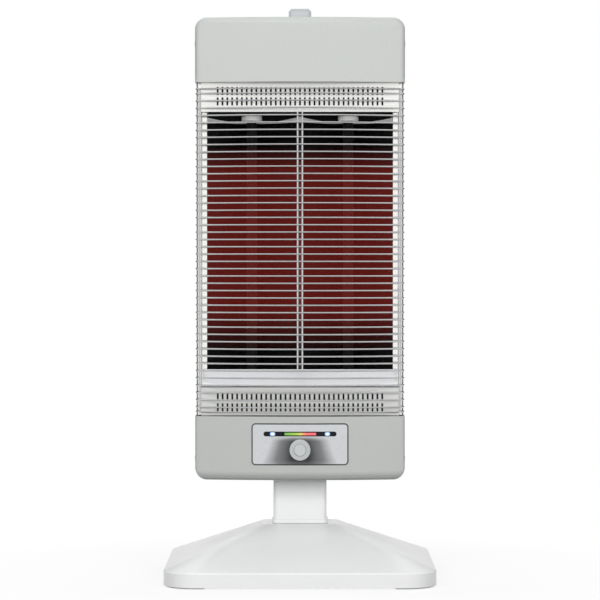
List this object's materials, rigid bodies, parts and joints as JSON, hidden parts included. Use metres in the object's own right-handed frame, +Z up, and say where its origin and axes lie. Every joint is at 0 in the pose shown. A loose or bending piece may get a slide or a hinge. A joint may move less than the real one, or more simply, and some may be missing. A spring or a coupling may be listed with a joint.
{
  "type": "infrared heater",
  "caption": "Floor-standing far-infrared heater: a wire-guarded twin-rod mirror head that tilts and swivels on a column over a hipped base.",
  "frame": {"origin": "on the floor under the middle of the base", "axes": "+Z up, the front of the heater faces -Y, +X to the viewer's right"},
  "size_m": [0.32, 0.316, 0.689],
  "materials": {
    "white_shell": "satin white moulded plastic",
    "silver_paint": "satin silver-grey paint on sheet steel",
    "steel_plate": "plain zinc-plated sheet",
    "rubber_pad": "matt black rubber",
    "zinc_screw": "bright zinc",
    "mirror_finish": "polished bright aluminium",
    "guard_chrome": "bright chrome wire",
    "heater_black": "black ceramic-coated sheath",
    "ceramic": "off-white glazed ceramic",
    "brass": "plain brass",
    "dark_plastic": "black moulded plastic",
    "grey_plastic": "light grey moulded plastic",
    "control_face": "brushed silver face with a dark middle",
    "dial_silver": "spun silver knob",
    "display_black": "black display window",
    "lamp_blue": "lit blue-white lens",
    "lamp_green": "lit green lens",
    "lamp_red": "lit red lens",
    "board_green": "circuit board"
  },
  "bodies": {
    "base": {"base_cover": "white_shell", "base_plate": "steel_plate", "base_feet": "rubber_pad", "base_screws": "zinc_screw", "cord_gland": "dark_plastic", "tip_switch": "dark_plastic", "bearing_housing": "dark_plastic", "thrust_washer": "grey_plastic"},
    "column": {"swivel_shaft": "steel_plate", "retaining_ring": "steel_plate", "column_cover": "white_shell", "pillar": "steel_plate", "tilt_pin": "zinc_screw", "friction_washers": "dark_plastic"},
    "head": {"upper_hood": "silver_paint", "lower_panel": "silver_paint", "rear_cover": "silver_paint", "side_screws": "zinc_screw", "rear_screws": "zinc_screw", "carry_handle": "grey_plastic", "mirror": "mirror_finish", "side_wing_left": "mirror_finish", "side_wing_right": "mirror_finish", "upper_grate": "mirror_finish", "lower_grate": "mirror_finish", "sill_reflector": "mirror_finish", "heater_rod_left": "heater_black", "heater_rod_right": "heater_black", "upper_collars": "ceramic", "lower_collars": "ceramic", "heater_terminals": "brass", "upper_bracket": "steel_plate", "lower_bracket": "steel_plate", "guard_wires": "guard_chrome", "guard_rods": "guard_chrome", "chassis": "steel_plate", "heat_shield": "steel_plate", "thermal_cutout": "zinc_screw", "terminal_block": "dark_plastic", "control_plate": "control_face", "display_strip": "display_black", "status_lamps": "lamp_blue", "level_bar_green": "lamp_green", "level_bar_red": "lamp_red", "panel_gasket": "dark_plastic", "control_board": "board_green", "encoder": "dark_plastic"},
    "dial": {"dial": "dial_silver"},
    "button": {"push_button": "dial_silver"},
    "plunger": {"tip_plunger": "dark_plastic"}
  },
  "joints": [
    {"name": "head_swivel", "type": "hinge", "parent": "base", "child": "column", "pos_m": [0, 0, 0.03], "axis": [0, 0, 1], "range_deg": [-35, 35]},
    {"name": "head_tilt", "type": "hinge", "parent": "column", "child": "head", "pos_m": [0, 0, 0.148], "axis": [-1, 0, 0], "range_deg": [-5, 15]},
    {"name": "dial_turn", "type": "hinge", "parent": "head", "child": "dial", "pos_m": [0, -0.06, 0.1556], "axis": [0, -1, 0], "continuous": true},
    {"name": "button_press", "type": "slide", "parent": "dial", "child": "button", "axis": [0, 1, 0], "range_m": [0, 0.0012], "stiffness_N_per_m": 400, "springref_m": -0.001},
    {"name": "plunger_slide", "type": "slide", "parent": "base", "child": "plunger", "axis": [0, 0, -1], "range_m": [0, 0.006], "stiffness_N_per_m": 100, "springref_m": 0.008}
  ]
}
